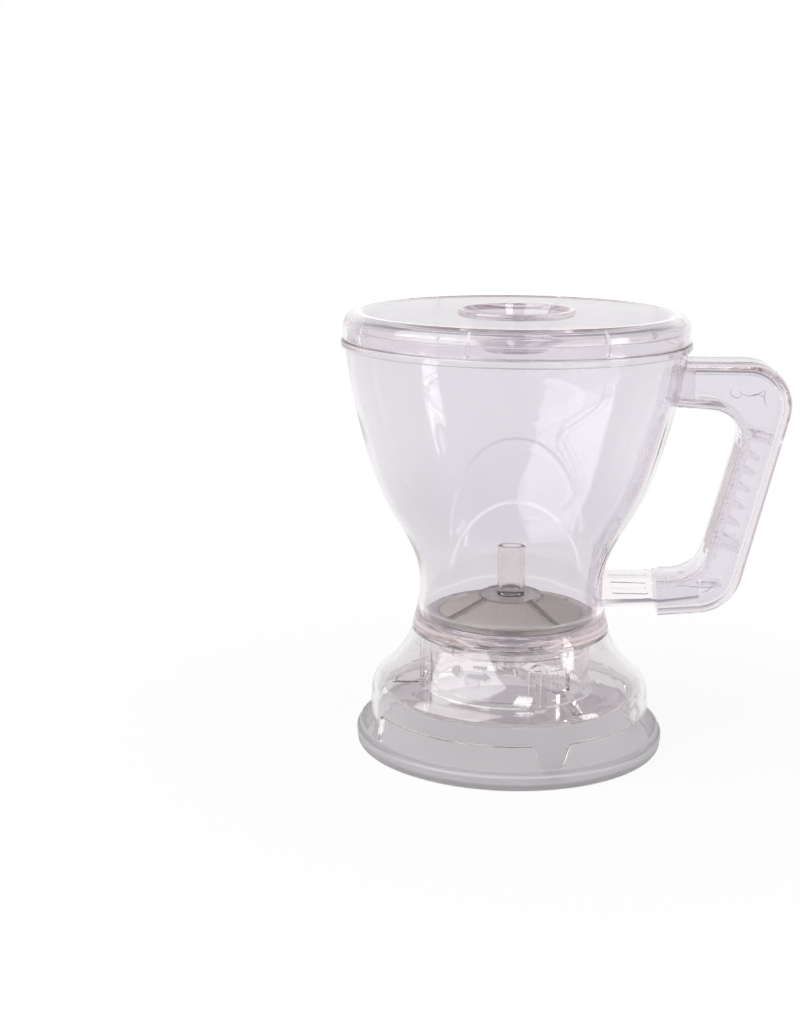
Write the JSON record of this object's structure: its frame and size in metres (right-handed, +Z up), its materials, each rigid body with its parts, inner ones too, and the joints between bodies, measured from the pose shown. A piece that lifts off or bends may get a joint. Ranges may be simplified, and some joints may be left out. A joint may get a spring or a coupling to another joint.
{
  "type": "steep-and-release tea maker",
  "caption": "Clear waisted tea brewer with a loop handle, finger-recess lid, cone filter and floor valve, on a bell-shaped base and a frosted coaster; setting the base on a mug opens the valve.",
  "frame": {"origin": "centre of the coaster's flat underside, on the vessel's axis", "axes": "+Z up along the vessel's axis, +X towards the handle, -Y towards the front"},
  "size_m": [0.16, 0.1248, 0.1603],
  "materials": {
    "clear_plastic": "glossy",
    "handle_plastic": "glossy",
    "frosted_plastic": "frosted",
    "mark_grey": "matte",
    "grip_pink": "satin",
    "filter_grey": "satin",
    "nylon_mesh": "woven",
    "post_frost": "frosted",
    "silicone": "matte",
    "stem_white": "matte"
  },
  "bodies": {
    "coaster": {"coaster": "frosted_plastic"},
    "brewer": {"vessel": "clear_plastic", "handle_frame": "handle_plastic", "handle_cover": "handle_plastic", "grip_strip": "grip_pink", "stem_guide": "clear_plastic"},
    "base": {"base_skirt": "clear_plastic", "twist_marks": "mark_grey"},
    "plate": {"push_plate": "clear_plastic"},
    "valve": {"valve_stem": "stem_white", "valve_stopper": "silicone"},
    "filter": {"filter_frame": "filter_grey", "filter_mesh": "nylon_mesh", "filter_post": "post_frost"},
    "lid": {"lid": "clear_plastic"}
  },
  "joints": [
    {"name": "brewer_lift", "type": "slide", "parent": "coaster", "child": "brewer", "axis": [0, 0, 1], "range_m": [0, 0.05]},
    {"name": "base_twist", "type": "hinge", "parent": "brewer", "child": "base", "pos_m": [0, 0, 0.0375], "axis": [0, 0, 1], "range_deg": [0, 22]},
    {"name": "plate_lift", "type": "slide", "parent": "base", "child": "plate", "axis": [0, 0, 1], "range_m": [0, 0.004]},
    {"name": "valve_lift", "type": "slide", "parent": "brewer", "child": "valve", "axis": [0, 0, 1], "range_m": [0, 0.004]},
    {"name": "filter_lift", "type": "slide", "parent": "brewer", "child": "filter", "axis": [0, 0, 1], "range_m": [0, 0.06]},
    {"name": "lid_lift", "type": "slide", "parent": "brewer", "child": "lid", "axis": [0, 0, 1], "range_m": [0, 0.04]}
  ],
  "couplings": [
    {"joint": "valve_lift", "follows": "plate_lift", "ratio": 1}
  ]
}
